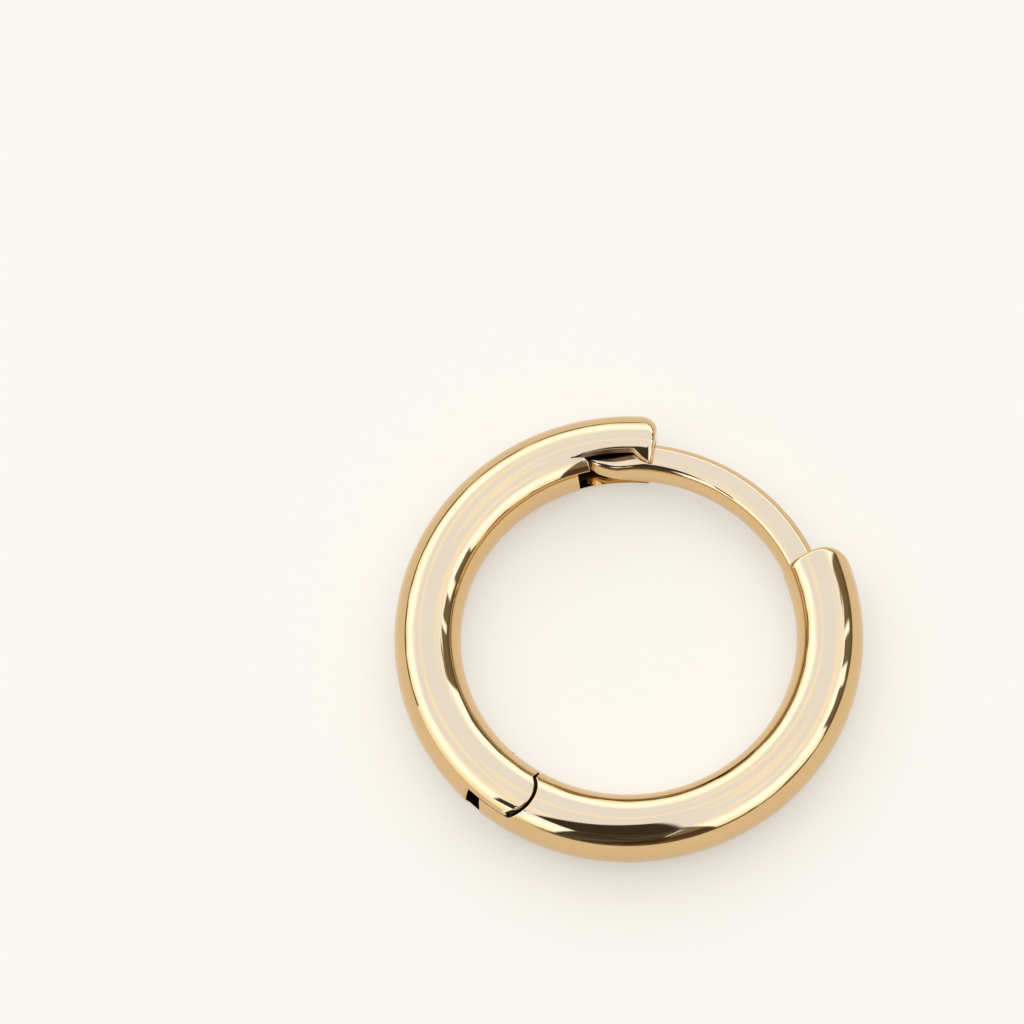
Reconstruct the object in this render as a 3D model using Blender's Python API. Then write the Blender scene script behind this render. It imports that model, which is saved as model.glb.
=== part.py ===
"""Huggie hoop earring: a small hinged hoop of polished yellow gold, lying on its side.

Two half hoops of oval tube meet at a knuckle hinge. The post half ends in a flat shoulder that
the ear wire grows out of. The wire's tip rests in a channel in the open end of the catch half.

Metres, +Z up. The hoop's own axis is +Z, and the origin is under the hoop's centre, on the
surface that it lies on. Angles go round the hoop from +X towards +Y.
"""

import math

import bpy
import bmesh
from mathutils import Vector

MM = 0.001

# Hoop
OUTER_DIAMETER = 13.0 * MM
TUBE_THICKNESS = 1.86 * MM
TUBE_WIDTH = 2.05 * MM
TUBE_SIDES = 20
TURN_STEP = math.radians(3.0)

# Free ends of the two halves
CATCH_END_ANGLE = math.radians(80.1)
POST_END_ANGLE = math.radians(21.5)
END_ROUNDING = 0.16 * MM
END_OUTER_ROUNDING = 0.50 * MM
ROUNDING_STEPS = 5

# Knuckle hinge
PIVOT_ANGLE = math.radians(231.8)
PIVOT_OFFSET = 0.11 * MM
KNUCKLE_RADIUS = 0.78 * MM
KNUCKLE_BUTT = 0.44 * MM
TONGUE_THICKNESS = 1.04 * MM
TONGUE_REACH = 0.47 * MM
TONGUE_CORNER = 0.20 * MM
HINGE_CLEARANCE = 0.04 * MM
HINGE_OPENING = math.radians(45.0)
ARC_STEPS = 12

# Hinge pin
PIN_RADIUS = 0.26 * MM
PIN_LENGTH = 1.50 * MM
PIN_CLEARANCE = 0.03 * MM
PIN_SIDES = 16

# Ear wire
WIRE_THICKNESS = 0.95 * MM
WIRE_WIDTH = 1.04 * MM
WIRE_STEP_IN = 0.06 * MM
WIRE_BEVEL_DEPTH = 0.21 * MM
WIRE_BEVEL_HEIGHT = 0.38 * MM
WIRE_EDGE = 0.14 * MM
WIRE_TIP_ANGLE = math.radians(101.4)
WIRE_TIP_ROUNDING = 0.42 * MM
WIRE_ROOT_DEPTH = 0.60 * MM

# Cleft at the root of the ear wire
CLEFT_WIDTH = 0.07 * MM
CLEFT_LENGTH = 0.80 * MM
CLEFT_LEAF = 0.20 * MM
CLEFT_START = 0.05 * MM

# Channel in the catch half
CHANNEL_SIDE_CLEARANCE = 0.08 * MM
CHANNEL_FLOOR_CLEARANCE = 0.08 * MM
CHANNEL_TIP_CLEARANCE = 0.32 * MM

# Notch in the channel's upper wall, and the tooth left at the free end
NOTCH_DEPTH = 0.62 * MM
NOTCH_END_MARGIN = 0.40 * MM
NOTCH_END_SLANT = 0.16 * MM
TOOTH_LENGTH = 0.60 * MM
TOOTH_TIP_DEPTH = 0.28 * MM

# Worked out from the sizes above
OUTER_RADIUS = OUTER_DIAMETER / 2
HALF_THICKNESS = TUBE_THICKNESS / 2
HALF_WIDTH = TUBE_WIDTH / 2
MEAN_RADIUS = OUTER_RADIUS - HALF_THICKNESS
INNER_RADIUS = OUTER_RADIUS - TUBE_THICKNESS
PIVOT_RADIUS = MEAN_RADIUS + PIVOT_OFFSET
WIRE_INNER_RADIUS = INNER_RADIUS + WIRE_STEP_IN
WIRE_OUTER_RADIUS = WIRE_INNER_RADIUS + WIRE_THICKNESS
CHANNEL_HALF_WIDTH = WIRE_WIDTH / 2 + CHANNEL_SIDE_CLEARANCE
CHANNEL_FLOOR_RADIUS = WIRE_OUTER_RADIUS + CHANNEL_FLOOR_CLEARANCE
CHANNEL_END_ANGLE = WIRE_TIP_ANGLE + CHANNEL_TIP_CLEARANCE / MEAN_RADIUS
FULL_TURN = 2 * math.pi
OVERRUN = TUBE_THICKNESS


def at(angle, radius):
    """Place in the hoop's plane of a point at an angle and a radius."""
    return Vector((radius * math.cos(angle), radius * math.sin(angle)))


PIVOT = at(PIVOT_ANGLE, PIVOT_RADIUS)


def at_hinge(along, outward):
    """Place in the hoop's plane of a point given from the pivot, along the hoop and outward."""
    out_way = at(PIVOT_ANGLE, 1.0)
    along_way = at(PIVOT_ANGLE + math.pi / 2, 1.0)
    return PIVOT + along_way * along + out_way * outward


def add_object(name, mesh_builder):
    """New object whose mesh is closed and has its faces pointing out."""
    bmesh.ops.recalc_face_normals(mesh_builder, faces=mesh_builder.faces)
    mesh = bpy.data.meshes.new(name)
    mesh_builder.to_mesh(mesh)
    mesh_builder.free()
    obj = bpy.data.objects.new(name, mesh)
    bpy.context.scene.collection.objects.link(obj)
    return obj


def sweep(name, stations):
    """Solid through rings of points. A station is an angle and a section of (radius, height)."""
    builder = bmesh.new()
    rings = []
    for angle, section in stations:
        ring = []
        for radius, height in section:
            place = at(angle, radius)
            ring.append(builder.verts.new((place.x, place.y, HALF_WIDTH + height)))
        rings.append(ring)
    for ring, following in zip(rings, rings[1:]):
        for k in range(len(ring)):
            m = (k + 1) % len(ring)
            builder.faces.new((ring[k], ring[m], following[m], following[k]))
    builder.faces.new(rings[0])
    builder.faces.new(rings[-1])
    return add_object(name, builder)


def prism(name, outline, low, high):
    """Solid with an outline in the hoop's plane, between two heights from its mid-plane."""
    builder = bmesh.new()
    floor = [builder.verts.new((p.x, p.y, HALF_WIDTH + low)) for p in outline]
    roof = [builder.verts.new((p.x, p.y, HALF_WIDTH + high)) for p in outline]
    builder.faces.new(floor)
    builder.faces.new(roof)
    for k in range(len(outline)):
        m = (k + 1) % len(outline)
        builder.faces.new((floor[k], floor[m], roof[m], roof[k]))
    return add_object(name, builder)


def guide(obj):
    """Mark an object as a cutter or a joined shape, not a piece of its own."""
    obj.hide_render = True
    obj.display_type = "WIRE"
    return obj


def combine(target, other, operation):
    """Cut another shape out of a piece, or join it on, with a live Boolean."""
    modifier = target.modifiers.new(operation.title() + " " + other.name, "BOOLEAN")
    modifier.operation = operation
    modifier.solver = "EXACT"
    modifier.object = guide(other)


def steps_between(start, end, step):
    """Angles from start to end, with whole multiples of the step between them."""
    first = math.floor(start / step + 0.35) + 1
    last = math.ceil(end / step - 0.35) - 1
    return [start] + [k * step for k in range(first, last + 1)] + [end]


def fillet_inset(distance, radius):
    """How far a rounded edge stands in from the side, at a distance from the end face."""
    if distance >= radius:
        return 0.0
    return radius - math.sqrt(radius ** 2 - (radius - distance) ** 2)


def fillet_distances(radius):
    """Distances from the end face at which a rounded edge gets its sections."""
    quarter = math.pi / 2
    return [radius * (1 - math.cos(quarter * k / ROUNDING_STEPS)) for k in range(ROUNDING_STEPS + 1)]


def tube_section(distance):
    """Oval section of the tube, at a distance along the hoop from its rounded free end."""
    flat_to_corner = 1 / math.cos(math.pi / TUBE_SIDES)
    section = []
    for k in range(TUBE_SIDES):
        turn = FULL_TURN * (k + 0.5) / TUBE_SIDES
        outness = max(0.0, math.cos(turn)) ** 2
        rounding = END_ROUNDING + (END_OUTER_ROUNDING - END_ROUNDING) * outness
        inset = fillet_inset(distance, rounding)
        radius = MEAN_RADIUS + (HALF_THICKNESS - inset) * flat_to_corner * math.cos(turn)
        height = (HALF_WIDTH - inset) * flat_to_corner * math.sin(turn)
        section.append((radius, height))
    return section


def half_tube(name, free_angle, far_angle):
    """Tube from its rounded free end to a far angle that is cut to shape later."""
    way = 1 if far_angle > free_angle else -1
    rounded = [(free_angle + way * d / MEAN_RADIUS, d) for d in fillet_distances(END_OUTER_ROUNDING)]
    last_rounded, full = rounded[-1]
    low, high = sorted((last_rounded, far_angle))
    plain = steps_between(low, high, TURN_STEP)
    if way < 0:
        plain.reverse()
    stations = [(angle, tube_section(d)) for angle, d in rounded]
    stations += [(angle, tube_section(full)) for angle in plain[1:]]
    return sweep(name, stations)


def arc(centre_along, centre_out, radius, start, end):
    """Points of an arc given from the pivot, its angles from the along way to the outward way."""
    points = []
    for k in range(ARC_STEPS + 1):
        turn = start + (end - start) * k / ARC_STEPS
        points.append((centre_along + radius * math.cos(turn), centre_out + radius * math.sin(turn)))
    return points


def knuckle_seam(clearance):
    """Seam of the hinge from the hoop's hole outwards: a flat butt, then an arc round the pivot."""
    radius = KNUCKLE_RADIUS + clearance
    butt = KNUCKLE_BUTT + clearance
    return [(butt, -OVERRUN)] + arc(0, 0, radius, -math.acos(butt / radius), math.pi / 2) + [(0, OVERRUN)]


def tongue_swing():
    """How far the tongue's rounded corner reaches back from the pivot as the hinge opens."""
    outer = OUTER_RADIUS - PIVOT_RADIUS
    back = TONGUE_REACH - TONGUE_CORNER
    out = outer - TONGUE_CORNER
    reach = math.hypot(back, out)
    turn = min(math.pi / 2, math.atan2(back, out) + HINGE_OPENING)
    return reach * math.sin(turn) + TONGUE_CORNER


def polar_strip(inner_radius, outer_radius, start, end):
    """Outline of a strip that follows the hoop between two angles."""
    angles = steps_between(start, end, TURN_STEP)
    outer = [at(angle, outer_radius) for angle in angles]
    inner = [at(angle, inner_radius) for angle in angles]
    return outer + inner[::-1]


def round_bar(name, radius, low, high):
    """Upright round bar on the hinge's axis."""
    turns = [FULL_TURN * k / PIN_SIDES for k in range(PIN_SIDES)]
    outline = [at_hinge(radius * math.cos(turn), radius * math.sin(turn)) for turn in turns]
    return prism(name, outline, low, high)


def pin_hole(name, half_length):
    """Hole for the pin, wide enough that its flats clear the pin's corners."""
    radius = (PIN_RADIUS + PIN_CLEARANCE) / math.cos(math.pi / PIN_SIDES)
    return round_bar(name, radius, -half_length, half_length)


def notch_outline():
    """Outline of the notch: a slanted flank behind the tooth, the curved top and a short end."""
    top = INNER_RADIUS + NOTCH_DEPTH
    start = CATCH_END_ANGLE + TOOTH_LENGTH / MEAN_RADIUS
    end = CHANNEL_END_ANGLE - NOTCH_END_MARGIN / MEAN_RADIUS
    tip = at(CATCH_END_ANGLE, INNER_RADIUS + TOOTH_TIP_DEPTH)
    flank = at(start, top) - tip
    curve = [at(angle, top) for angle in steps_between(start, end, TURN_STEP)]
    inner_end = at(end - NOTCH_END_SLANT / MEAN_RADIUS, INNER_RADIUS - HALF_THICKNESS)
    return [tip - flank] + curve + [inner_end]


def catch_half():
    """Half hoop with the channel at its free end and the two ears of the hinge at the other."""
    far_angle = PIVOT_ANGLE + (KNUCKLE_RADIUS + HALF_THICKNESS / 2) / MEAN_RADIUS
    half = half_tube("catch_half", CATCH_END_ANGLE, far_angle)

    beyond = knuckle_seam(0) + [(OVERRUN, OVERRUN), (OVERRUN, -OVERRUN)]
    seam = prism("knuckle_cutter", [at_hinge(*p) for p in beyond], -TUBE_WIDTH, TUBE_WIDTH)
    combine(half, seam, "DIFFERENCE")

    back = tongue_swing() + HINGE_CLEARANCE
    corners = [(-back, -OVERRUN), (OVERRUN, -OVERRUN), (OVERRUN, OVERRUN), (-back, OVERRUN)]
    slot_half = TONGUE_THICKNESS / 2 + HINGE_CLEARANCE
    slot = prism("tongue_slot_cutter", [at_hinge(*p) for p in corners], -slot_half, slot_half)
    combine(half, slot, "DIFFERENCE")
    combine(half, pin_hole("ear_hole_cutter", PIN_LENGTH / 2 + PIN_CLEARANCE), "DIFFERENCE")

    past_end = CATCH_END_ANGLE - OVERRUN / MEAN_RADIUS
    below_inner = INNER_RADIUS - HALF_THICKNESS
    channel = polar_strip(below_inner, CHANNEL_FLOOR_RADIUS, past_end, CHANNEL_END_ANGLE)
    cutter = prism("channel_cutter", channel, -CHANNEL_HALF_WIDTH, CHANNEL_HALF_WIDTH)
    combine(half, cutter, "DIFFERENCE")

    cutter = prism("notch_cutter", notch_outline(), 0, TUBE_WIDTH)
    combine(half, cutter, "DIFFERENCE")
    return half


def wire_section(distance):
    """Section of the ear wire, bevelled towards the hole, at a distance from its rounded tip."""
    top = WIRE_WIDTH / 2
    corner_radius = WIRE_OUTER_RADIUS - WIRE_EDGE
    corner_height = top - WIRE_EDGE
    quarter = math.pi / 2
    upper = []
    for k in range(3):
        turn = quarter * k / 2
        upper.append((corner_radius + WIRE_EDGE * math.cos(turn), corner_height + WIRE_EDGE * math.sin(turn)))
    upper.append((WIRE_INNER_RADIUS + WIRE_BEVEL_DEPTH, top))
    upper.append((WIRE_INNER_RADIUS, top - WIRE_BEVEL_HEIGHT))
    section = upper + [(radius, -height) for radius, height in reversed(upper)]
    middle = (WIRE_INNER_RADIUS + WIRE_OUTER_RADIUS) / 2
    share = 1 - fillet_inset(distance, WIRE_TIP_ROUNDING) / (WIRE_THICKNESS / 2)
    return [(middle + (radius - middle) * share, height * share) for radius, height in section]


def ear_wire():
    """Ear wire from inside the post half's shoulder to its rounded tip."""
    root = POST_END_ANGLE - WIRE_ROOT_DEPTH / MEAN_RADIUS
    distances = fillet_distances(WIRE_TIP_ROUNDING)
    rounded = [(WIRE_TIP_ANGLE - d / MEAN_RADIUS, d) for d in reversed(distances)]
    plain = steps_between(root, rounded[0][0], TURN_STEP)
    stations = [(angle, wire_section(WIRE_TIP_ROUNDING)) for angle in plain[:-1]]
    stations += [(angle, wire_section(d)) for angle, d in rounded]
    return sweep("ear_wire_shape", stations)


def wire_cleft():
    """Thin wedge between the ear wire and the leaf on its inner side, at the wire's root."""
    start = POST_END_ANGLE - CLEFT_START / MEAN_RADIUS
    end = POST_END_ANGLE + CLEFT_LENGTH / MEAN_RADIUS
    leaf_radius = WIRE_INNER_RADIUS + CLEFT_LEAF
    outline = [at(start, leaf_radius), at(start, leaf_radius + CLEFT_WIDTH), at(end, leaf_radius)]
    return prism("cleft_cutter", outline, -TUBE_WIDTH, TUBE_WIDTH)


def post_half():
    """Half hoop with the ear wire at its free end and the tongue of the hinge at the other."""
    far_angle = PIVOT_ANGLE - (TONGUE_REACH + HALF_THICKNESS / 2) / MEAN_RADIUS
    half = half_tube("post_half", POST_END_ANGLE + FULL_TURN, far_angle)
    combine(half, ear_wire(), "UNION")
    combine(half, wire_cleft(), "DIFFERENCE")

    outer = OUTER_RADIUS - PIVOT_RADIUS
    corner_along = TONGUE_CORNER - TONGUE_REACH
    corner = arc(corner_along, outer - TONGUE_CORNER, TONGUE_CORNER, math.pi, math.pi / 2)
    past_tongue = [(-TONGUE_REACH, -OVERRUN)] + corner + [(corner_along, OVERRUN)]
    past_tongue += [(-OVERRUN, OVERRUN), (-OVERRUN, -OVERRUN)]
    end = prism("tongue_end_cutter", [at_hinge(*p) for p in past_tongue], -TUBE_WIDTH, TUBE_WIDTH)
    combine(half, end, "DIFFERENCE")

    ear_room = knuckle_seam(HINGE_CLEARANCE) + [(-OVERRUN, OVERRUN), (-OVERRUN, -OVERRUN)]
    outline = [at_hinge(*p) for p in ear_room]
    upper = prism("upper_ear_cutter", outline, TONGUE_THICKNESS / 2, TUBE_WIDTH)
    lower = prism("lower_ear_cutter", outline, -TUBE_WIDTH, -TONGUE_THICKNESS / 2)
    combine(half, upper, "DIFFERENCE")
    combine(half, lower, "DIFFERENCE")
    combine(half, pin_hole("tongue_hole_cutter", TUBE_WIDTH), "DIFFERENCE")

    centre = Vector((PIVOT.x, PIVOT.y, HALF_WIDTH))
    half.data.transform(half.matrix_world.Translation(-centre))
    half.location = centre
    return half


def hinge_pin():
    """Hidden pin that the tongue turns on, held in blind holes in the two ears."""
    return round_bar("hinge_pin", PIN_RADIUS, -PIN_LENGTH / 2, PIN_LENGTH / 2)


def gold(name, colour, roughness):
    """Polished or drawn yellow gold."""
    material = bpy.data.materials.new(name)
    material.use_nodes = True
    shader = material.node_tree.nodes["Principled BSDF"]
    shader.inputs["Base Color"].default_value = (*colour, 1.0)
    shader.inputs["Metallic"].default_value = 1.0
    shader.inputs["Roughness"].default_value = roughness
    return material


def finish(obj, material):
    """Give a piece its metal and smooth shading with crisp cut edges."""
    obj.data.materials.append(material)
    obj.data.shade_smooth()
    obj.data.set_sharp_from_angle(angle=math.radians(32))


for old in list(bpy.data.objects):
    bpy.data.objects.remove(old)

finish(catch_half(), gold("catch_half_gold", (0.93, 0.70, 0.36), 0.10))
finish(post_half(), gold("post_half_gold", (0.93, 0.70, 0.36), 0.10))
finish(hinge_pin(), gold("hinge_pin_gold", (0.88, 0.66, 0.34), 0.30))
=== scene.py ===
"""Huggie hoop earring in polished yellow gold, closed, lying on its side on a pale table."""

import math

import bmesh
import bpy
from mathutils import Matrix, Vector


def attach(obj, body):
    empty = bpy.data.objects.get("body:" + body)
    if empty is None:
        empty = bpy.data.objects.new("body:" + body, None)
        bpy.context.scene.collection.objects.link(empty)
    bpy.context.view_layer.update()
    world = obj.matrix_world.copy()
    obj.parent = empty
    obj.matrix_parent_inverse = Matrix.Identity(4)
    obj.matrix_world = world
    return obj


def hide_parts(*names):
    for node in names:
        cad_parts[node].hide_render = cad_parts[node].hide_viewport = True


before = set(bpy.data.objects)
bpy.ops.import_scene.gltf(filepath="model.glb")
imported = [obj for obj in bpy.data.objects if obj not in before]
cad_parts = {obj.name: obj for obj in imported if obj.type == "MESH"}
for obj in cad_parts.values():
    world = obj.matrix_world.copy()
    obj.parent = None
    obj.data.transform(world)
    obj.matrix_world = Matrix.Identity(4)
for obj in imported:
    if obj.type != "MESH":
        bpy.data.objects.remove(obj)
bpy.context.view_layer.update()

# Catch half
# The half hoop that stays still. It is solid 14-carat gold of oval section, mirror polished, with
# two ears for the hinge at one end. At the free end a milled channel takes the ear wire's tip, and
# a notch filed through the channel's upper wall leaves a small tooth that the wire snaps behind.

# Sizes are in millimetres, and a finished piece is brought to metres. Angles are in degrees round
# the hoop's centre. The tube overruns the hinge's axis, and that end is then cut to shape.
HOOP_RADIUS = 5.57
TUBE_HALF_THICKNESS = 0.93
TUBE_HALF_WIDTH = 1.025
TUBE_OUTER_RADIUS = HOOP_RADIUS + TUBE_HALF_THICKNESS
TUBE_SIDES = 84
CATCH_STATIONS = 120
CATCH_END_ANGLE = 80.1
CATCH_OVERRUN = 13
END_ROUNDING = 0.16
END_OUTER_ROUNDING = 0.50
ROUNDED_SHARE = 1 / 7
WELD_DISTANCE = 0.0005


class Field:
    """A node socket that Python's own operators can be used on."""

    def __init__(self, tree, socket):
        self.tree = tree
        self.socket = socket

    def node(self, kind, settings=None, output=0, **inputs):
        """Add a node of a kind, with its settings first and then its sockets by name or number."""
        made = self.tree.nodes.new(kind)
        for key, value in (settings or {}).items():
            setattr(made, key, value)
        for key, value in inputs.items():
            if key[0] == "i" and key[1:].isdigit():
                target = made.inputs[int(key[1:])]
            else:
                target = made.inputs[key.replace("_", " ")]
            if isinstance(value, Field):
                self.tree.links.new(value.socket, target)
            else:
                target.default_value = value
        return Field(self.tree, made.outputs[output])

    def other(self, output):
        """Another output of the node that this socket is on."""
        return Field(self.tree, self.socket.node.outputs[output])

    def math(self, operation, *values):
        """Add a Math node that starts from this socket."""
        rest = {f"i{k + 1}": value for k, value in enumerate(values)}
        return self.node("ShaderNodeMath", {"operation": operation}, i0=self, **rest)

    def __add__(self, other):
        return self.math("ADD", other)

    def __radd__(self, other):
        return self.math("ADD", other)

    def __sub__(self, other):
        return self.math("SUBTRACT", other)

    def __rsub__(self, other):
        return self.node("ShaderNodeMath", {"operation": "SUBTRACT"}, i0=other, i1=self)

    def __mul__(self, other):
        return self.math("MULTIPLY", other)

    def __rmul__(self, other):
        return self.math("MULTIPLY", other)

    def __truediv__(self, other):
        return self.math("DIVIDE", other)

    def __neg__(self):
        return self.math("MULTIPLY", -1.0)


def tube_tree(gold):
    """Geometry Nodes for a length of oval tube round the hoop, with one rounded free end."""
    tree = bpy.data.node_groups.new("hoop_tube", "GeometryNodeTree")
    sizes = {
        "Hoop Radius": HOOP_RADIUS,
        "Half Thickness": TUBE_HALF_THICKNESS,
        "Half Width": TUBE_HALF_WIDTH,
        "Free Angle": 0.0,
        "Far Angle": math.pi,
        "End Rounding": END_ROUNDING,
        "Outer Rounding": END_OUTER_ROUNDING,
        "Stations": CATCH_STATIONS,
        "Sides": TUBE_SIDES,
    }
    for name, value in sizes.items():
        kind = "NodeSocketInt" if isinstance(value, int) else "NodeSocketFloat"
        socket = tree.interface.new_socket(name, in_out="INPUT", socket_type=kind)
        socket.default_value = value
    tree.interface.new_socket("Geometry", in_out="OUTPUT", socket_type="NodeSocketGeometry")
    entry = tree.nodes.new("NodeGroupInput")
    size = {name: Field(tree, entry.outputs[name]) for name in sizes}
    start = Field(tree, entry.outputs[0])

    # A flat grid, one unit square: its X runs along the tube, and its Y goes round the section.
    grid = start.node("GeometryNodeMeshGrid", i0=1.0, i1=1.0, i2=size["Stations"], i3=size["Sides"] + 1)
    place = start.node("GeometryNodeInputPosition")
    across = place.node("ShaderNodeSeparateXYZ", i0=place)
    along = across + 0.5
    turn = (across.other(1) + 0.5) * (2 * math.pi)
    cosine = turn.math("COSINE")
    sine = turn.math("SINE")

    # The first seventh of the stations lies in the rounded end, bunched towards the end face.
    spread = (along / ROUNDED_SHARE).math("MINIMUM", 1.0)
    in_rounding = 1 - (spread * (math.pi / 2)).math("COSINE")
    past = (along - ROUNDED_SHARE).math("MAXIMUM", 0.0) / (1 - ROUNDED_SHARE)
    sweep = size["Far Angle"] - size["Free Angle"]
    length = sweep.math("ABSOLUTE") * size["Hoop Radius"]
    distance = in_rounding * size["Outer Rounding"] + past * (length - size["Outer Rounding"])

    # The rounding is a quarter circle whose radius grows from the hole's side to the outer side.
    outness = cosine.math("MAXIMUM", 0.0).math("POWER", 2.0)
    rounding = size["End Rounding"] + (size["Outer Rounding"] - size["End Rounding"]) * outness
    short = (rounding - distance).math("MAXIMUM", 0.0)
    inset = rounding - (rounding * rounding - short * short).math("SQRT")
    angle = size["Free Angle"] + sweep.math("SIGN") * distance / size["Hoop Radius"]
    radius = size["Hoop Radius"] + (size["Half Thickness"] - inset) * cosine
    height = size["Half Width"] + (size["Half Width"] - inset) * sine
    east = radius * angle.math("COSINE")
    north = radius * angle.math("SINE")
    point = start.node("ShaderNodeCombineXYZ", i0=east, i1=north, i2=height)

    bent = start.node("GeometryNodeSetPosition", Geometry=grid, Position=point)
    closed = start.node("GeometryNodeMergeByDistance", Geometry=bent, Distance=WELD_DISTANCE)
    smooth = start.node("GeometryNodeSetShadeSmooth", Geometry=closed)
    real = start.node("GeometryNodeRealizeInstances", Geometry=smooth)
    finished = start.node("GeometryNodeSetMaterial", Geometry=real, Material=gold)
    leave = tree.nodes.new("NodeGroupOutput")
    tree.links.new(finished.socket, leave.inputs[0])
    return tree


def plain_copy(obj):
    """Turn an object with live modifiers into a plain mesh, in place."""
    graph = bpy.context.evaluated_depsgraph_get()
    mesh = bpy.data.meshes.new_from_object(obj.evaluated_get(graph))
    obj.modifiers.clear()
    obj.data = mesh
    return obj


def half_tube(name, gold, free_angle, far_angle, stations):
    """Length of tube with both ends closed, in millimetres."""
    obj = bpy.data.objects.new(name, bpy.data.meshes.new(name))
    bpy.context.scene.collection.objects.link(obj)
    tree = tube_tree(gold)
    modifier = obj.modifiers.new("Hoop tube", "NODES")
    modifier.node_group = tree
    chosen = {
        "Free Angle": math.radians(free_angle),
        "Far Angle": math.radians(far_angle),
        "Stations": stations,
    }
    for item in tree.interface.items_tree:
        if item.name in chosen:
            modifier[item.identifier] = chosen[item.name]
    plain_copy(obj)
    shell = bmesh.new()
    shell.from_mesh(obj.data)
    bmesh.ops.holes_fill(shell, edges=[e for e in shell.edges if e.is_boundary])
    bmesh.ops.recalc_face_normals(shell, faces=shell.faces)
    shell.to_mesh(obj.data)
    shell.free()
    return obj


# Places at the hinge are given along the hoop and outward, both from the hinge's axis, which lies
# a little outward of the tube's middle. BEYOND is far enough to be clear of the tube.
PIVOT_ANGLE = 231.8
PIVOT_OUTWARD = 0.11
PIVOT_RADIUS = HOOP_RADIUS + PIVOT_OUTWARD
KNUCKLE_RADIUS = 0.78
KNUCKLE_BUTT = 0.44
KNUCKLE_STEPS = 40
ROUND_HOLE_SIDES = 48
BEYOND = 1.9


def at(angle, radius):
    """Place in the hoop's plane of a point at an angle in degrees and a radius."""
    return Vector((radius * math.cos(math.radians(angle)), radius * math.sin(math.radians(angle))))


def at_hinge(along, outward):
    """Place in the hoop's plane of a point given from the hinge's axis, along the hoop and outward."""
    return at(PIVOT_ANGLE, PIVOT_RADIUS + outward) + at(PIVOT_ANGLE + 90, along)


def curved(radius, start, end):
    """Points that follow the hoop at one radius, about a degree apart."""
    steps = max(2, round(abs(end - start)))
    return [at(start + (end - start) * k / steps, radius) for k in range(steps + 1)]


def hinge_arc(radius, start, end, steps):
    """Points round the hinge's axis, with angles from the along way to the outward way."""
    turns = [start + (end - start) * k / steps for k in range(steps + 1)]
    return [(radius * math.cos(t), radius * math.sin(t)) for t in turns]


def knuckle_seam(gap):
    """Seam of the hinge from the hoop's hole outwards: a flat butt, then an arc."""
    radius = KNUCKLE_RADIUS + gap
    butt = KNUCKLE_BUTT + gap
    arc = hinge_arc(radius, -math.acos(butt / radius), math.pi / 2, KNUCKLE_STEPS)
    return [(butt, -BEYOND)] + arc + [(0, BEYOND)]


def solid(shell, name):
    """Object made of a closed shell, with its faces turned outwards."""
    bmesh.ops.recalc_face_normals(shell, faces=shell.faces)
    mesh = bpy.data.meshes.new(name)
    shell.to_mesh(mesh)
    shell.free()
    obj = bpy.data.objects.new(name, mesh)
    bpy.context.scene.collection.objects.link(obj)
    return obj


def block(name, outline, low, high):
    """Upright solid for cutting, between two heights from the hoop's mid-plane."""
    shell = bmesh.new()
    floor = [shell.verts.new((p.x, p.y, TUBE_HALF_WIDTH + low)) for p in outline]
    roof = [shell.verts.new((p.x, p.y, TUBE_HALF_WIDTH + high)) for p in outline]
    shell.faces.new(floor)
    shell.faces.new(roof)
    for k in range(len(outline)):
        m = (k + 1) % len(outline)
        shell.faces.new((floor[k], floor[m], roof[m], roof[k]))
    return solid(shell, name)


def hinge_block(name, places, low, high):
    """Upright solid for cutting, from places given at the hinge."""
    return block(name, [at_hinge(*place) for place in places], low, high)


def round_hole(name, radius, half_length):
    """Bar that cuts the hole for the hinge's pin."""
    last_turn = 2 * math.pi * (ROUND_HOLE_SIDES - 1) / ROUND_HOLE_SIDES
    rim = hinge_arc(radius, 0, last_turn, ROUND_HOLE_SIDES - 1)
    return hinge_block(name, rim, -half_length, half_length)


def skin(shell, rings):
    """Join rings of points into a closed skin with a flat face at each end."""
    for ring, following in zip(rings, rings[1:]):
        for k in range(len(ring)):
            m = (k + 1) % len(ring)
            shell.faces.new((ring[k], ring[m], following[m], following[k]))
    shell.faces.new(rings[0])
    shell.faces.new(rings[-1])


def cut(obj, cutters):
    """Cut blocks out of a piece and take the blocks away."""
    for cutter in cutters:
        modifier = obj.modifiers.new(cutter.name, "BOOLEAN")
        modifier.operation = "DIFFERENCE"
        modifier.solver = "EXACT"
        modifier.object = cutter
    plain_copy(obj)
    for cutter in cutters:
        bpy.data.objects.remove(cutter)
    return obj


# The seam's groove has rounded lips, and one lip is worn back towards the hoop's outer side. The
# groove runs in along the butt and rises out of the tube there. Its limits are shares of the
# tube's half thickness.
GROOVE_GAP = 0.02
GROOVE_RADIUS = KNUCKLE_RADIUS + GROOVE_GAP
GROOVE_HALF_GAP = 0.04
GROOVE_ROUNDING = 0.045
GROOVE_OVERSHOOT = 0.03
GROOVE_INNER_LIMIT = -0.80
GROOVE_OUTER_LIMIT = 0.835
LIP_STEPS = 8
LIP_START = 0.10
WORN_REACH = 0.15
WORN_DEPTH = 0.09
WORN_RATE = 3.2
WORN_DELAY = 2.1
RUN_IN_STEPS = 8
RUN_IN_STEP = 0.05
LIFT_HEIGHT = 0.07
LIFT_STEPS = 5


def eased(share):
    """Share between 0 and 1, with a soft start and a soft end."""
    share = max(0.0, min(1.0, share))
    return share * share * (3 - 2 * share)


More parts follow.
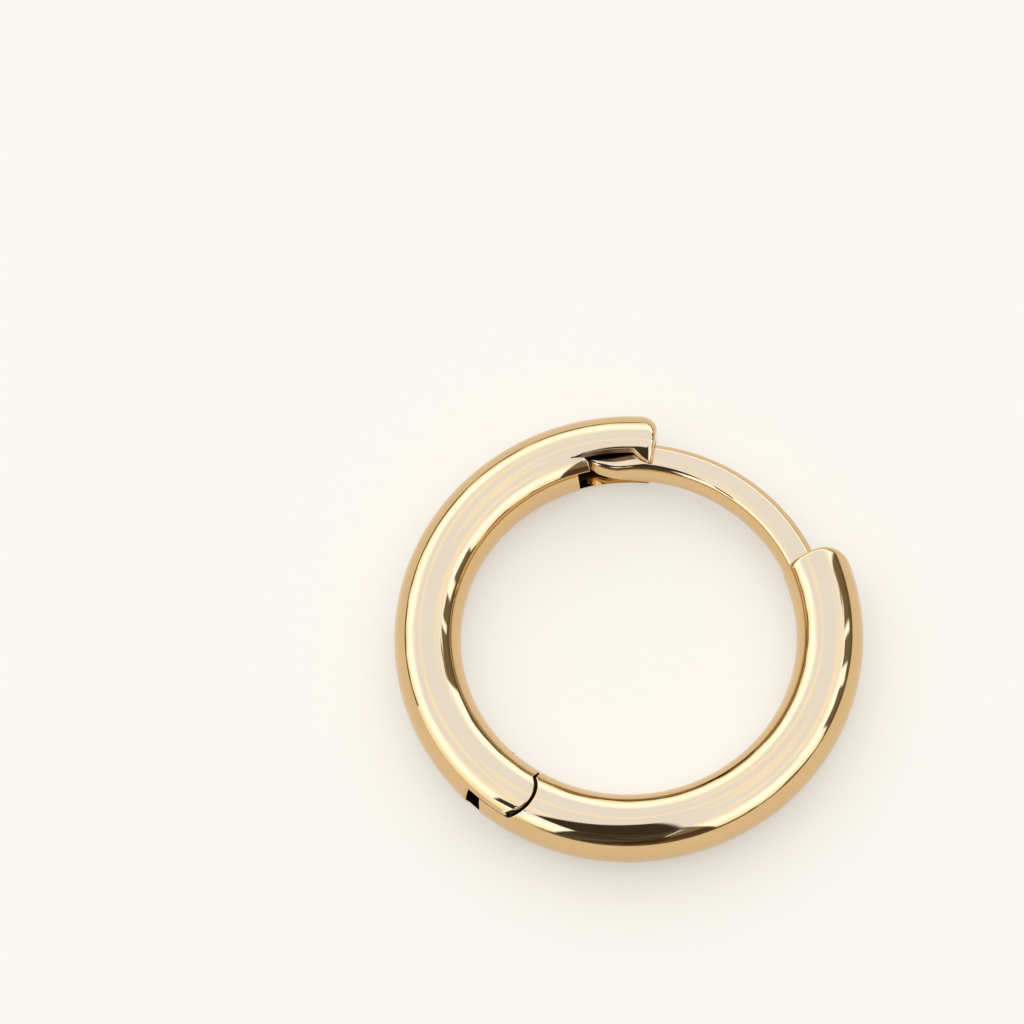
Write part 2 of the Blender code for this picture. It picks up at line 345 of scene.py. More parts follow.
def groove_section(worn):
    """Outline of a groove with rounded lips, as (across, outward), with one lip worn more."""
    lips = []
    for share in (0, worn):
        reach = GROOVE_ROUNDING + (WORN_REACH - GROOVE_ROUNDING) * share
        depth = GROOVE_ROUNDING + (WORN_DEPTH - GROOVE_ROUNDING) * share
        lip = []
        for k in range(LIP_STEPS + 1):
            turn = math.pi / 2 * (LIP_START + (1 - LIP_START) * k / LIP_STEPS)
            lip.append((GROOVE_HALF_GAP + reach * (1 - math.sin(turn)), depth * (math.cos(turn) - 1)))
        lips.append([(lip[0][0] + GROOVE_OVERSHOOT, GROOVE_OVERSHOOT)] + lip)
    return lips[0] + [(-x, y) for x, y in reversed(lips[1])]


def seam_groove(name, side):
    """Groove that follows the hinge's seam over one side of the tube, for cutting both halves."""
    places = knuckle_seam(GROOVE_GAP)[1:-1]
    butt, first = places[0]
    run_in = [(butt, first - RUN_IN_STEP * k) for k in range(RUN_IN_STEPS, 0, -1)]
    centres = []
    for along, outward in run_in + places:
        flat = at_hinge(along, outward)
        across = (flat.length - HOOP_RADIUS) / TUBE_HALF_THICKNESS
        if GROOVE_INNER_LIMIT < across < GROOVE_OUTER_LIMIT:
            rise = math.sqrt(1 - across * across)
            out = flat.normalized() * (across / TUBE_HALF_THICKNESS)
            facing = Vector((out.x, out.y, side * rise / TUBE_HALF_WIDTH)).normalized()
            centres.append((Vector((flat.x, flat.y, TUBE_HALF_WIDTH * (1 + side * rise))), facing))
    shell = bmesh.new()
    rings = []
    last = len(centres) - 1
    for k, (centre, facing) in enumerate(centres):
        ahead = centres[min(k + 1, last)][0] - centres[max(k - 1, 0)][0]
        sideways = facing.cross(ahead).normalized() * side
        lift = LIFT_HEIGHT * max(0.0, 1 - k / LIFT_STEPS) ** 2
        section = groove_section(eased(k / last * WORN_RATE - WORN_DELAY))
        rings.append([shell.verts.new(centre + sideways * x + facing * (y + lift)) for x, y in section])
    skin(shell, rings)
    return solid(shell, name)


# A polishing mop breaks every sharp edge, but the groove has already rounded those at the hinge.
POLISHED_EDGE = 0.022
POLISHED_STEPS = 3
SHARP_ANGLE = 38
HINGE_REACH = 1.35
SAME_POINT = 0.003
SAME_EDGE = 0.002
MILLIMETRE = 0.001


def near_hinge(place):
    """Whether a point lies in the hinge."""
    return (Vector((place.x, place.y)) - at_hinge(0, 0)).length < HINGE_REACH


def polish(obj, gold):
    """Break the sharp edges, keep the broad faces true, and bring the piece to metres."""
    shell = bmesh.new()
    shell.from_mesh(obj.data)
    bmesh.ops.remove_doubles(shell, verts=shell.verts, dist=SAME_POINT)
    bmesh.ops.dissolve_degenerate(shell, edges=shell.edges, dist=SAME_EDGE)
    for face in shell.faces:
        face.material_index = 0
    weight = shell.edges.layers.float.new("bevel_weight_edge")
    for edge in shell.edges:
        if edge.is_manifold and edge.calc_face_angle() > math.radians(SHARP_ANGLE):
            edge[weight] = 0.0 if any(near_hinge(v.co) for v in edge.verts) else 1.0
    shell.to_mesh(obj.data)
    shell.free()
    obj.data.materials.clear()
    obj.data.materials.append(gold)
    obj.data.shade_smooth()
    bevel = obj.modifiers.new("Broken edges", "BEVEL")
    bevel.width = POLISHED_EDGE
    bevel.segments = POLISHED_STEPS
    bevel.limit_method = "WEIGHT"
    bevel.use_clamp_overlap = False
    bevel.miter_outer = "MITER_ARC"
    true_faces = obj.modifiers.new("True faces", "WEIGHTED_NORMAL")
    true_faces.weight = 100
    true_faces.keep_sharp = False
    plain_copy(obj)
    obj.data.transform(Matrix.Scale(MILLIMETRE, 4))
    return obj


# Dark shade is painted in the seam and round the tongue's slot, a little below the tube's surface,
# where the gap between the halves lies in shadow. It spreads at the seam's worn corner.
SEAM_SHADE_COLOUR = (0.055, 0.030, 0.012, 1.0)
SEAM_SHADE_ROUGHNESS = 0.45
SEAM_SHADE_REACH = 0.045
SEAM_SHADE_DEPTH = 0.035
SEAM_LOWEST = 0.42
BUTT_OUTER_END = -0.60
BUTT_INNER_END = -1.3
SLOT_EDGE_HEIGHT = 0.53
SLOT_EDGE_REACH = 1.25
SLOT_EDGE_EASE = 0.02
WORN_CORNER_START = 0.34
WORN_CORNER_SPREAD = 0.8
WORN_CORNER_REACH = 0.12
WORN_CORNER_DEPTH = 0.25

# Painted shade darkens the channel and the notch's wall behind the tooth, where they lie in shadow.
CHANNEL_HALF_WIDTH = 0.60
CHANNEL_SHADE_COLOUR = (0.100, 0.034, 0.009, 1.0)
CHANNEL_SHADE_ROUGHNESS = 0.25
CHANNEL_SHADE_SHARE = 0.9
CHANNEL_SHADE_START_ANGLE = 85.0
CHANNEL_SHADE_FULL_ANGLE = 88.0
CHANNEL_SHADE_END_ANGLE = 105.6
CHANNEL_SHADE_DEPTH = 0.20
CHANNEL_SHADE_WALL_DEPTH = 0.02
CHANNEL_SHADE_WALL_EASE = 0.05

# The gold is a little deeper and paler in turns, with haze and low waves, all sized in metres.
GOLD_DEEP = (0.690, 0.470, 0.235, 1.0)
GOLD_PALE = (0.740, 0.510, 0.260, 1.0)
MIRROR_ROUGHNESS = 0.030
HAZE_ROUGHNESS = 0.05
HAZE_SCALE = 900.0
FINE_HAZE_SCALE = 5200.0
WAVE_SCALE = 420.0
WAVE_HEIGHT = 0.0000035


def mixed(factor, first, second):
    """Colour between two, by a factor."""
    return factor.node("ShaderNodeMix", {"data_type": "RGBA"}, output=2, i0=factor, i6=first, i7=second)


def ramp(value, low, high):
    """0 below low, 1 above high, and smooth between."""
    smooth = {"interpolation_type": "SMOOTHSTEP"}
    return value.node("ShaderNodeMapRange", smooth, i0=value, i1=low, i2=high, i3=0.0, i4=1.0)


def seam_shade_mask(x, y, height, inwards):
    """Painted shade: 1 where a place, in millimetres, is near the hinge's seam or slot, below the
    surface.
    """
    hinge = at_hinge(0, 0)
    way_out = at(PIVOT_ANGLE, 1)
    way_along = at(PIVOT_ANGLE + 90, 1)
    along = (x - hinge.x) * way_along.x + (y - hinge.y) * way_along.y
    outward = (x - hinge.x) * way_out.x + (y - hinge.y) * way_out.y
    from_axis = (along * along + outward * outward).math("SQRT")
    short_of_arc = (GROOVE_RADIUS - from_axis).math("MAXIMUM", 0.0)
    worn_corner = (outward - WORN_CORNER_START).math("MAXIMUM", 0.0) * WORN_CORNER_SPREAD
    worn_corner = worn_corner.math("MINIMUM", WORN_CORNER_REACH)
    off_arc = (from_axis - GROOVE_RADIUS).math("ABSOLUTE") - short_of_arc.math("MINIMUM", worn_corner)
    off_butt = (along - KNUCKLE_BUTT - GROOVE_GAP).math("ABSOLUTE")
    off_butt = off_butt + (outward - BUTT_OUTER_END).math("MAXIMUM", 0.0)
    off_butt = off_butt + (BUTT_INNER_END - outward).math("MAXIMUM", 0.0)
    off_seam = off_arc.math("MINIMUM", off_butt) + (SEAM_LOWEST - height).math("MAXIMUM", 0.0)
    off_seam = off_seam + (-along).math("MAXIMUM", 0.0)
    off_slot = (height - SLOT_EDGE_HEIGHT).math("ABSOLUTE")
    off_slot = off_slot + (from_axis - SLOT_EDGE_REACH).math("MAXIMUM", 0.0) + SLOT_EDGE_EASE
    below_surface = (inwards + WORN_CORNER_DEPTH * worn_corner).math("GREATER_THAN", SEAM_SHADE_DEPTH)
    return off_seam.math("MINIMUM", off_slot).math("LESS_THAN", SEAM_SHADE_REACH) * below_surface


def channel_shade_mask(x, y, z, inwards):
    """Painted shade: 1 inside the channel and on the notch's wall, and 0 at the tooth and the free end.
    """
    bearing = y.math("ARCTAN2", x) * (180 / math.pi)
    past_tooth = ramp(bearing, CHANNEL_SHADE_START_ANGLE, CHANNEL_SHADE_FULL_ANGLE)
    before_end = bearing.math("LESS_THAN", CHANNEL_SHADE_END_ANGLE)
    upper = z.math("GREATER_THAN", CHANNEL_HALF_WIDTH - CHANNEL_SHADE_WALL_EASE)
    on_upper_wall = upper * inwards.math("GREATER_THAN", CHANNEL_SHADE_WALL_DEPTH)
    unreached = on_upper_wall.math("MAXIMUM", inwards.math("GREATER_THAN", CHANNEL_SHADE_DEPTH))
    return past_tooth * before_end * unreached


def polished_gold(name, shaded_channel=False):
    """Mirror-polished yellow gold with the faint waviness and haze that a mop leaves, with painted
    shade in the hinge's seam and, if asked, in the channel.
    """
    material = bpy.data.materials.new(name)
    material.use_nodes = True
    tree = material.node_tree
    shader = tree.nodes["Principled BSDF"]
    shader.inputs["Metallic"].default_value = 1.0
    start = Field(tree, shader.outputs[0])
    place = start.node("ShaderNodeTexCoord", output=3)
    haze = start.node("ShaderNodeTexNoise", i0=place, Scale=HAZE_SCALE, Detail=3.0)
    fine_haze = start.node("ShaderNodeTexNoise", i0=place, Scale=FINE_HAZE_SCALE, Detail=2.0)
    wave = start.node("ShaderNodeTexNoise", i0=place, Scale=WAVE_SCALE, Detail=1.0)
    apart = start.node("ShaderNodeSeparateXYZ", i0=place)
    x = apart / MILLIMETRE
    y = apart.other(1) / MILLIMETRE
    z = apart.other(2) / MILLIMETRE - TUBE_HALF_WIDTH
    radius = (x * x + y * y).math("SQRT")
    thick = (radius - HOOP_RADIUS) / TUBE_HALF_THICKNESS
    wide = z / TUBE_HALF_WIDTH
    inwards = 1 - (thick * thick + wide * wide).math("SQRT")
    # Painted shade darkens the hinge's seam and the slot's edges.
    shade_in_seam = seam_shade_mask(x, y, z.math("ABSOLUTE"), inwards)
    colour = mixed(shade_in_seam, mixed(haze, GOLD_DEEP, GOLD_PALE), SEAM_SHADE_COLOUR)
    rough = MIRROR_ROUGHNESS + HAZE_ROUGHNESS * haze * fine_haze + SEAM_SHADE_ROUGHNESS * shade_in_seam
    # Painted shade darkens the channel and the notch's wall behind the tooth.
    if shaded_channel:
        shade_in_channel = channel_shade_mask(x, y, z, inwards)
        colour = mixed(shade_in_channel * CHANNEL_SHADE_SHARE, colour, CHANNEL_SHADE_COLOUR)
        rough = rough + CHANNEL_SHADE_ROUGHNESS * shade_in_channel
    relief = start.node("ShaderNodeBump", Strength=1.0, Distance=WAVE_HEIGHT, Height=wave)
    tree.links.new(colour.socket, shader.inputs["Base Color"])
    tree.links.new(rough.socket, shader.inputs["Roughness"])
    tree.links.new(relief.socket, shader.inputs["Normal"])
    return material


# The two ears stand above and below the tongue's slot, whose back is stepped by a low sill.
SEAM_EASE = 0.015
SLOT_HALF_HEIGHT = 0.54
SLOT_BACK = 0.87
SLOT_SILL = 0.50
SILL_OUTER_EDGE = -0.45
SILL_INNER_EDGE = -0.55
EAR_HOLE_RADIUS = 0.296
EAR_HOLE_HALF_LENGTH = 0.78
beyond_seam = knuckle_seam(-SEAM_EASE) + [(BEYOND, BEYOND), (BEYOND, -BEYOND)]
tongue_slot = [
    (-SLOT_SILL, -BEYOND),
    (BEYOND, -BEYOND),
    (BEYOND, BEYOND),
    (-SLOT_BACK, BEYOND),
    (-SLOT_BACK, SILL_OUTER_EDGE),
    (-SLOT_SILL, SILL_INNER_EDGE),
]

# The channel is open towards the hoop's hole and at the free end.
CHANNEL_FLOOR_RADIUS = 5.73
CHANNEL_MOUTH_ANGLE = 55
CHANNEL_END_ANGLE = 104.69
OPEN_RADIUS = 3.7
channel = curved(CHANNEL_FLOOR_RADIUS, CHANNEL_MOUTH_ANGLE, CHANNEL_END_ANGLE)
channel += curved(OPEN_RADIUS, CHANNEL_END_ANGLE, CHANNEL_MOUTH_ANGLE)

# The notch, as (angle, radius): past the tooth's tip, along its wall, round the crack and out.
NOTCH_TOP_RADIUS = 5.26
NOTCH_START_ANGLE = 86.27
NOTCH_END_ANGLE = 100.6
NOTCH_TURN_ANGLE = NOTCH_END_ANGLE - 2
NOTCH_INNER_END_ANGLE = 98.9
tooth_side = [
    (70, OPEN_RADIUS),
    (78, 5.20),
    (CATCH_END_ANGLE, 5.03),
    (80.8, 4.96),
    (81.6, 4.97),
    (84.5, 5.12),
]
crack_side = [
    (NOTCH_END_ANGLE + 1.0, 5.262),
    (NOTCH_END_ANGLE + 4.5, 5.225),
    (NOTCH_END_ANGLE + 1.0, 5.17),
    (NOTCH_END_ANGLE, 5.05),
    (NOTCH_INNER_END_ANGLE, OPEN_RADIUS),
]
notch = [at(*place) for place in tooth_side]
notch += curved(NOTCH_TOP_RADIUS, NOTCH_START_ANGLE, NOTCH_TURN_ANGLE)
notch += [at(*place) for place in crack_side]

catch_gold = polished_gold("catch_half_polished_gold", shaded_channel=True)
catch_far_angle = PIVOT_ANGLE + CATCH_OVERRUN
catch = half_tube("catch_half_polished", catch_gold, CATCH_END_ANGLE, catch_far_angle, CATCH_STATIONS)
cut(catch, [
    hinge_block("beyond_the_seam", beyond_seam, -BEYOND, BEYOND),
    hinge_block("tongue_slot", tongue_slot, -SLOT_HALF_HEIGHT, SLOT_HALF_HEIGHT),
    round_hole("ear_holes", EAR_HOLE_RADIUS, EAR_HOLE_HALF_LENGTH),
    block("channel", channel, -CHANNEL_HALF_WIDTH, CHANNEL_HALF_WIDTH),
    block("notch", notch, 0, BEYOND),
    seam_groove("upper_groove", 1),
    seam_groove("lower_groove", -1),
])
polish(catch, catch_gold)
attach(catch, "catch")
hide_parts("catch_half")

# Post half
# The half hoop that swings. It is the same polished tube, with a tongue that fits between the
# other half's ears. The tongue's outer corner is rounded so that it can turn in its slot.
POST_END_ANGLE = 21.5
POST_OVERRUN = 9.5
POST_STATIONS = 150
TONGUE_HALF_HEIGHT = 0.52
TONGUE_REACH = 0.47
TONGUE_CORNER = 0.20
TONGUE_CORNER_STEPS = 12
HINGE_GAP = 0.04

corner_along = TONGUE_CORNER - TONGUE_REACH
corner_out = TUBE_OUTER_RADIUS - PIVOT_RADIUS - TONGUE_CORNER
past_tongue = [(-TONGUE_REACH, -BEYOND)]
for x, y in hinge_arc(TONGUE_CORNER, math.pi, math.pi / 2, TONGUE_CORNER_STEPS):
    past_tongue.append((corner_along + x, corner_out + y))
past_tongue += [(corner_along, BEYOND), (-BEYOND, BEYOND), (-BEYOND, -BEYOND)]
ear_room = knuckle_seam(HINGE_GAP + SEAM_EASE) + [(-BEYOND, BEYOND), (-BEYOND, -BEYOND)]

post_gold = polished_gold("post_half_polished_gold")
post_far_angle = PIVOT_ANGLE - POST_OVERRUN
post = half_tube("post_half_polished", post_gold, POST_END_ANGLE + 360, post_far_angle, POST_STATIONS)
cut(post, [
    hinge_block("past_the_tongue", past_tongue, -BEYOND, BEYOND),
    hinge_block("upper_ear_room", ear_room, TONGUE_HALF_HEIGHT, BEYOND),
    hinge_block("lower_ear_room", ear_room, -BEYOND, -TONGUE_HALF_HEIGHT),
    round_hole("tongue_hole", EAR_HOLE_RADIUS, BEYOND),
    seam_groove("upper_groove", 1),
    seam_groove("lower_groove", -1),
])
polish(post, post_gold)
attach(post, "post")
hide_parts("post_half")

# Ear wire
# The wire that goes through the ear: gold strip of soft box section, soldered into the post
# half's free end and polished with it. Its tip is rounded and snaps into the channel.
WIRE_INNER_RADIUS = 4.70
WIRE_OUTER_RADIUS = 5.65
WIRE_HALF_WIDTH = 0.52
WIRE_ROOT_DEPTH = 0.60
WIRE_STEPS = 110
WIRE_TIP_ANGLE = 101.4
WIRE_TIP_ROUNDING = 0.42
WIRE_TIP_STEPS = 14
WIRE_TIP_FULLNESS = 0.55

# The top's bevel towards the hole and its smaller one outwards, and the radius of each corner.
WIRE_BEVEL_ACROSS = 0.21
WIRE_BEVEL_DOWN = 0.38
WIRE_BEVEL_RADIUS = 0.26
WIRE_SHOULDER_ACROSS = 0.18
WIRE_SHOULDER_DOWN = 0.21
WIRE_SHOULDER_RADIUS = 0.16
WIRE_SIDE_RADIUS = 0.10
WIRE_CORNER_STEPS = 9

# Towards the tip the inner side rises, the top drops, and the bevels and their corners shrink.
WIRE_TAPER_START = 89.5
WIRE_TAPER_SWEEP = 11.9
WIRE_TAPER_RISE = 0.50
WIRE_DROP_START = 83
WIRE_DROP_SWEEP = 12
WIRE_DROP = 0.15
WIRE_ACROSS_LOSS = 0.45
WIRE_DOWN_LOSS = 0.3
WIRE_RADIUS_LOSS = 0.16


def filleted(corners, steps):
    """Round the corners of an open outline given as (across, up, radius), with even steps in each."""
    points = []
    for before, corner, after in zip(corners, corners[1:], corners[2:]):
        here = Vector(corner[:2])
        back = (Vector(before[:2]) - here).normalized()
        ahead = (Vector(after[:2]) - here).normalized()
        half_angle = back.angle(ahead) / 2
        centre = here + (back + ahead).normalized() * corner[2] / math.sin(half_angle)
        first = here + back * corner[2] / math.tan(half_angle) - centre
        last = here + ahead * corner[2] / math.tan(half_angle) - centre
        for k in range(steps + 1):
            points.append(centre + first.slerp(last, k / steps) * corner[2])
    return points


def wire_ring(angle, share):
    """One section of the ear wire as (radius, height), thinner towards its tip."""
    taper = max(0.0, min(1.0, (angle - WIRE_TAPER_START) / WIRE_TAPER_SWEEP)) ** 2
    inner = WIRE_INNER_RADIUS + WIRE_TAPER_RISE * taper
    top = WIRE_HALF_WIDTH - WIRE_DROP * eased((angle - WIRE_DROP_START) / WIRE_DROP_SWEEP)
    bevel_across = WIRE_BEVEL_ACROSS * (1 - WIRE_ACROSS_LOSS * taper)
    bevel_down = WIRE_BEVEL_DOWN * (1 - WIRE_DOWN_LOSS * taper)
    shoulder_down = WIRE_SHOULDER_DOWN * (1 - WIRE_DOWN_LOSS * taper)
    corners = [
        (inner, 0, 0),
        (inner, top - bevel_down, WIRE_SIDE_RADIUS),
        (inner + bevel_across, top, WIRE_BEVEL_RADIUS - WIRE_RADIUS_LOSS * taper),
        (WIRE_OUTER_RADIUS - WIRE_SHOULDER_ACROSS, top, WIRE_SHOULDER_RADIUS),
        (WIRE_OUTER_RADIUS, top - shoulder_down, WIRE_SIDE_RADIUS),
        (WIRE_OUTER_RADIUS, 0, 0),
    ]
    upper = filleted(corners, WIRE_CORNER_STEPS)
    middle = (inner + WIRE_OUTER_RADIUS) / 2
    ring = []
    for across, up in [tuple(p) for p in upper] + [(p.x, -p.y) for p in reversed(upper)]:
        ring.append((middle + (across - middle) * share, up * share))
    return ring


def ear_wire_piece(gold):
    """Ear wire from inside the post half to its rounded tip."""
    root = POST_END_ANGLE - math.degrees(WIRE_ROOT_DEPTH / HOOP_RADIUS)
    rounding = math.degrees(WIRE_TIP_ROUNDING / HOOP_RADIUS)
    straight_end = WIRE_TIP_ANGLE - rounding
    sections = []
    for k in range(WIRE_STEPS + 1):
        sections.append((root + (straight_end - root) * k / WIRE_STEPS, 1.0))
    for k in range(1, WIRE_TIP_STEPS + 1):
        turn = math.pi / 2 * k / (WIRE_TIP_STEPS + 0.5)
        sections.append((straight_end + rounding * math.sin(turn), math.cos(turn) ** WIRE_TIP_FULLNESS))
    shell = bmesh.new()
    rings = []
    for angle, share in sections:
        ring = []
        for radius, height in wire_ring(angle, share):
            place = at(angle, radius)
            ring.append(shell.verts.new((place.x, place.y, TUBE_HALF_WIDTH + height)))
        rings.append(ring)
    skin(shell, rings)
    obj = solid(shell, "ear_wire_polished")
    obj.data.materials.append(gold)
    obj.data.shade_smooth()
    obj.data.transform(Matrix.Scale(MILLIMETRE, 4))
    return obj


ear_wire = ear_wire_piece(polished_gold("ear_wire_polished_gold"))
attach(ear_wire, "post")

# Hinge pin
# A plain length of drawn gold wire, hidden in the ears. It keeps the solid's own mesh and only
# gets its metal here.
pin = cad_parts["hinge_pin"]
pin_gold = polished_gold("hinge_pin_drawn_gold")
for slot in pin.material_slots:
    slot.material = pin_gold

# Table
# A plain warm-white sheet that the hoop lies on. It glows a little by itself, as painted light, so
# that shadows stay soft.
# It lies a hair under the hoop, and its sizes are in metres.
TABLE_REACH = 2
TABLE_DROP = 1e-5
TABLE_COLOUR = (0.580, 0.566, 0.530, 1.0)
TABLE_PAINTED_GLOW = (0.404, 0.395, 0.371, 1.0)

table_corners = []
for x, y in [(-1, -1), (1, -1), (1, 1), (-1, 1)]:
    table_corners.append((x * TABLE_REACH, y * TABLE_REACH, -TABLE_DROP))
table_mesh = bpy.data.meshes.new("table")
table_mesh.from_pydata(table_corners, [], [(0, 1, 2, 3)])
table = bpy.data.objects.new("table", table_mesh)
bpy.context.scene.collection.objects.link(table)
table_paint = bpy.data.materials.new("table_paint")
table_paint.use_nodes = True
sheet = table_paint.node_tree.nodes["Principled BSDF"]
sheet.inputs["Base Color"].default_value = TABLE_COLOUR
sheet.inputs["Roughness"].default_value = 1.0
sheet.inputs["Specular IOR Level"].default_value = 0.0
# Painted light: the sheet glows a little by itself, which keeps its shadows soft.
sheet.inputs["Emission Color"].default_value = TABLE_PAINTED_GLOW
sheet.inputs["Emission Strength"].default_value = 1.0
table_mesh.materials.append(table_paint)

# Studio
# A white tent round the table: a cool panel overhead with warmer creases, bright walls, the dark
# gap where the camera stands, dark stands on the right, a dark knob at the front left, and a dark
# line where the table ends.
COOL_PANEL = (1.14, 1.42, 2.23, 1.0)
WARM_PANEL = (1.38, 1.58, 1.85, 1.0)
BRIGHT_WALL = (1.60, 2.02, 2.90, 1.0)
LOW_WALL = (1.30, 1.52, 1.50, 1.0)
DARK_GAP = (0.055, 0.052, 0.050, 1.0)
DIM_GAP = (0.27, 0.27, 0.24, 1.0)
GAP_FOOT = (0.075, 0.030, 0.010, 1.0)
TABLE_END = (0.17, 0.155, 0.115, 1.0)
STAND = (0.23, 0.21, 0.15, 1.0)
OVERHEAD_LIGHT = (1.43, 1.43, 1.43, 1.0)
SIDE_LIGHT = (0.34, 0.34, 0.34, 1.0)
FAR_WALL = (0.947, 0.921, 0.863, 1.0)


def within(value, low, high, soft):
    """1 between low and high, with soft ends."""
    return ramp(value, low - soft, low + soft) * (1 - ramp(value, high - soft, high + soft))


world = bpy.data.worlds.new("studio")
bpy.context.scene.world = world
world.use_nodes = True
studio = world.node_tree
backdrop = studio.nodes["Background"]
sky = Field(studio, backdrop.outputs[0])
way = sky.node("ShaderNodeTexCoord")
east = sky.node("ShaderNodeSeparateXYZ", i0=way)
north = east.other(1)
up = east.other(2)

# Directions are in degrees: how far each falls from straight up, split to the right and to the
# front, and its bearing round the table. An edge is soft between two values, and a band has a
# first value, a last value and how soft both are.
LEAST_LEVEL = 1e-5
level = (east * east + north * north).math("SQRT").math("MAXIMUM", LEAST_LEVEL)
fall = up.math("ARCCOSINE") * (180 / math.pi)
right = fall * east / level
depth = -(fall * north / level)
bearing = north.math("ARCTAN2", east) * (180 / math.pi)


def on_tent(spread, drop):
    """Where a direction meets the tent, for a noise that a large spread and a small drop make fine."""
    return sky.node("ShaderNodeCombineXYZ", i0=east * spread, i1=north * spread, i2=fall / drop)


# The panel is creased, and the edges where it meets the walls sag unevenly.
CREASE_SPREAD = 1.7
CREASE_DROP = 17
CREASE_EDGE = (0.46, 0.66)
CREASE_SHARE = 0.8
RIPPLE_SPREAD = 5
RIPPLE_DROP = 9
RIPPLE_SCALE = 1.4
SAG = 14
WALL_EDGE = (50, 62)
LOW_WALL_EDGE = (70, 84)
folds = on_tent(CREASE_SPREAD, CREASE_DROP)
ripples = on_tent(RIPPLE_SPREAD, RIPPLE_DROP)
crease = sky.node("ShaderNodeTexNoise", i0=folds, Scale=1.0, Detail=0.0)
ripple = sky.node("ShaderNodeTexNoise", i0=ripples, Scale=RIPPLE_SCALE, Detail=2.0, Roughness=0.5)
uneven = ripple - 0.5
sag = fall + uneven * SAG
tent = mixed(ramp(crease, *CREASE_EDGE) * CREASE_SHARE, COOL_PANEL, WARM_PANEL)
tent = mixed(ramp(sag, *WALL_EDGE), tent, BRIGHT_WALL)
tent = mixed(ramp(sag, *LOW_WALL_EDGE), tent, LOW_WALL)

# The gap starts a little in front of the top and widens downwards. Its sides are slanting lines,
# each given by how far right it goes for a degree of depth and by where it is at no depth.
GAP_TOP_EDGE = (11.5, 14)
GAP_SIDE_EDGE = (-1.2, 1.6)
LEFT_UPPER_LINE = (-1.23, 14.76)
LEFT_LOWER_LINE = (0.714, -59.1)
LEFT_LIMIT_LINE = (-0.846, 22.0)
RIGHT_UPPER_LINE = (0.34, -1.0)
RIGHT_LOWER_LINE = (0.81, -21.6)


def slanting(slope, start):
    """How far right a slanting line is at each depth."""
    return slope * depth + start


left_side = slanting(*LEFT_UPPER_LINE).math("MAXIMUM", slanting(*LEFT_LOWER_LINE))
left_side = left_side.math("MINIMUM", slanting(*LEFT_LIMIT_LINE))
right_side = slanting(*RIGHT_UPPER_LINE).math("MAXIMUM", slanting(*RIGHT_LOWER_LINE))
gap = ramp(right - left_side, *GAP_SIDE_EDGE) * ramp(right_side - right, *GAP_SIDE_EDGE)
gap = gap * ramp(depth, *GAP_TOP_EDGE)
tent = mixed(gap, tent, DARK_GAP)

# Low in the gap one side is dimly lit, with worn streaks and one bright slit, and its foot is brown.
LIT_SIDE_EDGE = (12.7, 14.3)
LIT_TOP_EDGE = (40, 46)
STREAK_SPREAD = 0.03
STREAK_DEPTH = 0.30
STREAK_EDGE = (0.42, 0.62)
STREAK_TOP_EDGE = (44, 58)
STREAK_SHARE = 0.40
SLIT_SLOPE = 0.30
SLIT_SIDES = (30.9, 32.1, 0.5)
SLIT_ENDS = (52, 66, 2.0)
FOOT_SLOPE = 0.35
FOOT_EDGE = (70, 76)
FOOT_SHARE = 0.8
streaks = sky.node("ShaderNodeCombineXYZ", i0=right * STREAK_SPREAD, i1=depth * STREAK_DEPTH, i2=0.0)
streak = sky.node("ShaderNodeTexNoise", i0=streaks, Scale=1.0, Detail=3.0, Roughness=0.6)
lit_side = ramp(right, *LIT_SIDE_EDGE) * ramp(depth, *LIT_TOP_EDGE)
worn_side = ramp(depth, *STREAK_TOP_EDGE) * ramp(streak, *STREAK_EDGE) * STREAK_SHARE
slit = within(right + SLIT_SLOPE * depth, *SLIT_SIDES) * within(depth, *SLIT_ENDS)
foot = ramp(depth + FOOT_SLOPE * right, *FOOT_EDGE)
tent = mixed(gap * lit_side.math("MAXIMUM", worn_side), tent, DIM_GAP)
tent = mixed(gap * slit, tent, COOL_PANEL)
tent = mixed(gap * foot * FOOT_SHARE, tent, GAP_FOOT)

# Each stand has a first and a last bearing and the fall of its top. All reach down to the table.
STANDS = [
    (20, 38, 56),
    (8, 17, 60),
    (-13, 1, 70),
]
STAND_FOOT = 95
STAND_SIDE_SOFTNESS = 1.0
STAND_END_SOFTNESS = 2.0
KNOB_SIDES = (-142, -133.5, 0.8)
KNOB_SLOPE = 1.2
KNOB_ENDS = (-112, -96, 1.5)
stands = 0.0
for first_bearing, last_bearing, top in STANDS:
    sides = within(bearing, first_bearing, last_bearing, STAND_SIDE_SOFTNESS)
    stands += sides * within(sag, top, STAND_FOOT, STAND_END_SOFTNESS)
knob = within(bearing, *KNOB_SIDES) * within(fall + KNOB_SLOPE * bearing, *KNOB_ENDS)
tent = mixed(stands.math("MINIMUM", 1.0), tent, STAND)
tent = mixed(knob, tent, DARK_GAP)

# The table ends in a dark line, which starts a little higher on the right and is missing at the
# front left.
TABLE_END_EDGE = (83.0, 86.0)
TABLE_END_SAG = 16
RIGHT_BEARINGS = (-10, 60, 12.0)
RIGHT_RISE = 5
FRONT_LEFT_EDGE = (-140, -115)
past_end = fall + uneven * TABLE_END_SAG + RIGHT_RISE * within(bearing, *RIGHT_BEARINGS)
tent = mixed(ramp(past_end, *TABLE_END_EDGE) * ramp(bearing, *FRONT_LEFT_EDGE), tent, TABLE_END)

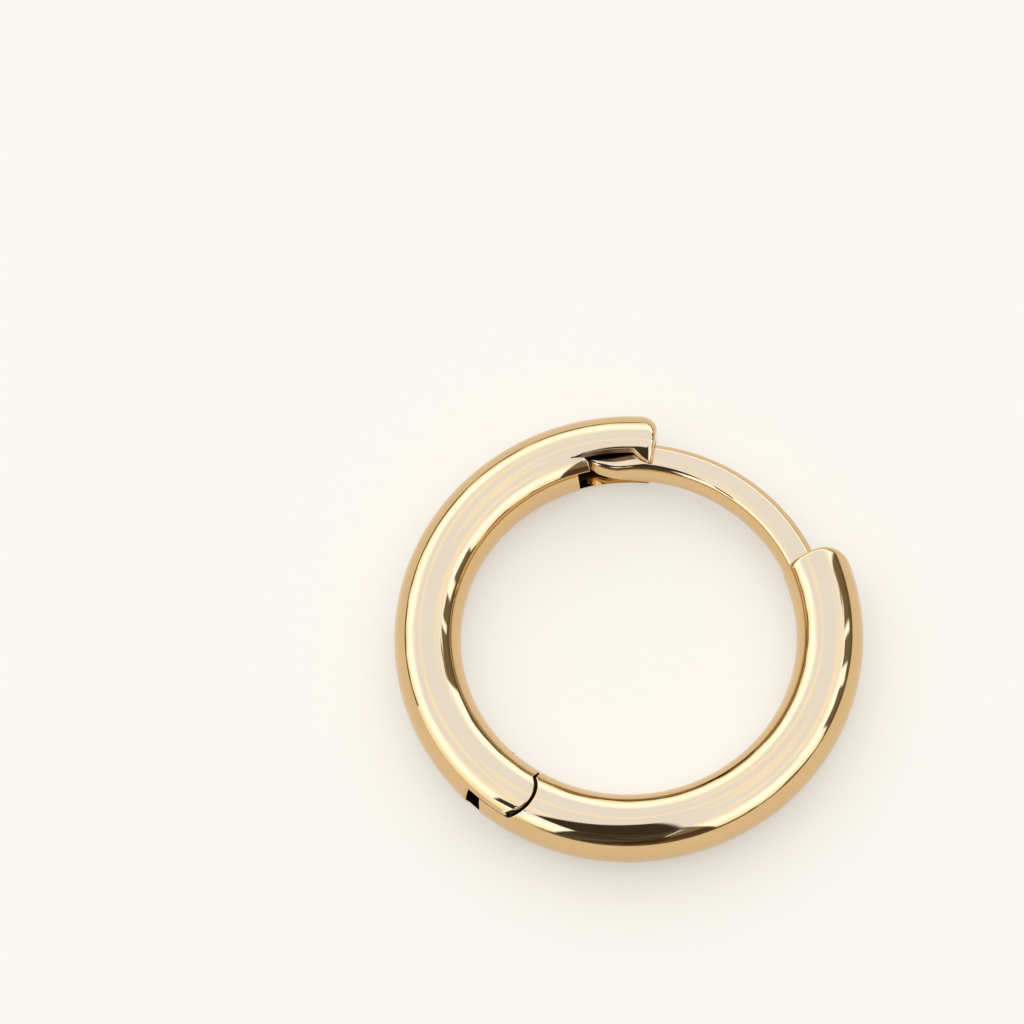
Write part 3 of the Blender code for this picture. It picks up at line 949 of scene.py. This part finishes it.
# The tent is only mirrored in the metal. The table gets plain light from overhead, from a little
# to the back, and less from the sides, and the camera sees a plain far wall.
OVERHEAD_RIGHT = -0.06
OVERHEAD_BACK = 0.28
OVERHEAD_UP = 0.955
OVERHEAD_EDGE = (0.56, 0.72)
path = sky.node("ShaderNodeLightPath")
glossy = path.other("Is Glossy Ray")
camera_ray = path.other("Is Camera Ray")
towards_light = OVERHEAD_BACK * north + OVERHEAD_RIGHT * east + OVERHEAD_UP * up
overhead = ramp(towards_light, *OVERHEAD_EDGE)
plain_light = mixed(overhead, SIDE_LIGHT, OVERHEAD_LIGHT)
seen = mixed(camera_ray, mixed(glossy, plain_light, tent), FAR_WALL)
studio.links.new(seen.socket, backdrop.inputs["Color"])
backdrop.inputs["Strength"].default_value = 1.0

# Camera
# A long lens, 70 degrees above the table and a little rolled, as the photo was taken. It aims past
# the hoop, so that the hoop's centre falls on its pixel in the photo. The lens and the sensor are
# in millimetres, and the frame's width at the hoop is in metres.
LENS = 400.0
SENSOR = 36.0
IMAGE_SIZE = 1024
FRAME_WIDTH = 0.02836
ELEVATION = math.radians(70.2)
ROLL = math.radians(2.4)
CENTRE_X = 628.7
CENTRE_Y = 638.0

distance = FRAME_WIDTH * LENS / SENSOR
centre = Vector((0, 0, TUBE_HALF_WIDTH * MILLIMETRE))
back_way = Vector((0, -math.cos(ELEVATION), math.sin(ELEVATION)))
level_right = Vector((1, 0, 0))
level_up = back_way.cross(level_right)
right_way = level_right * math.cos(ROLL) - level_up * math.sin(ROLL)
up_way = level_right * math.sin(ROLL) + level_up * math.cos(ROLL)
pixel = SENSOR / LENS / IMAGE_SIZE
aim = -back_way - right_way * ((CENTRE_X - IMAGE_SIZE / 2) * pixel)
aim = aim - up_way * ((IMAGE_SIZE / 2 - CENTRE_Y) * pixel)
aim.normalize()
side = (right_way - aim * aim.dot(right_way)).normalized()
camera_data = bpy.data.cameras.new("camera")
camera_data.lens = LENS
camera_data.sensor_width = SENSOR
camera = bpy.data.objects.new("camera", camera_data)
bpy.context.scene.collection.objects.link(camera)
turned = Matrix((side, side.cross(aim), -aim)).transposed().to_4x4()
turned.translation = centre + back_way * distance
camera.matrix_world = turned
bpy.context.scene.camera = camera
bpy.context.scene.view_settings.view_transform = "Standard"
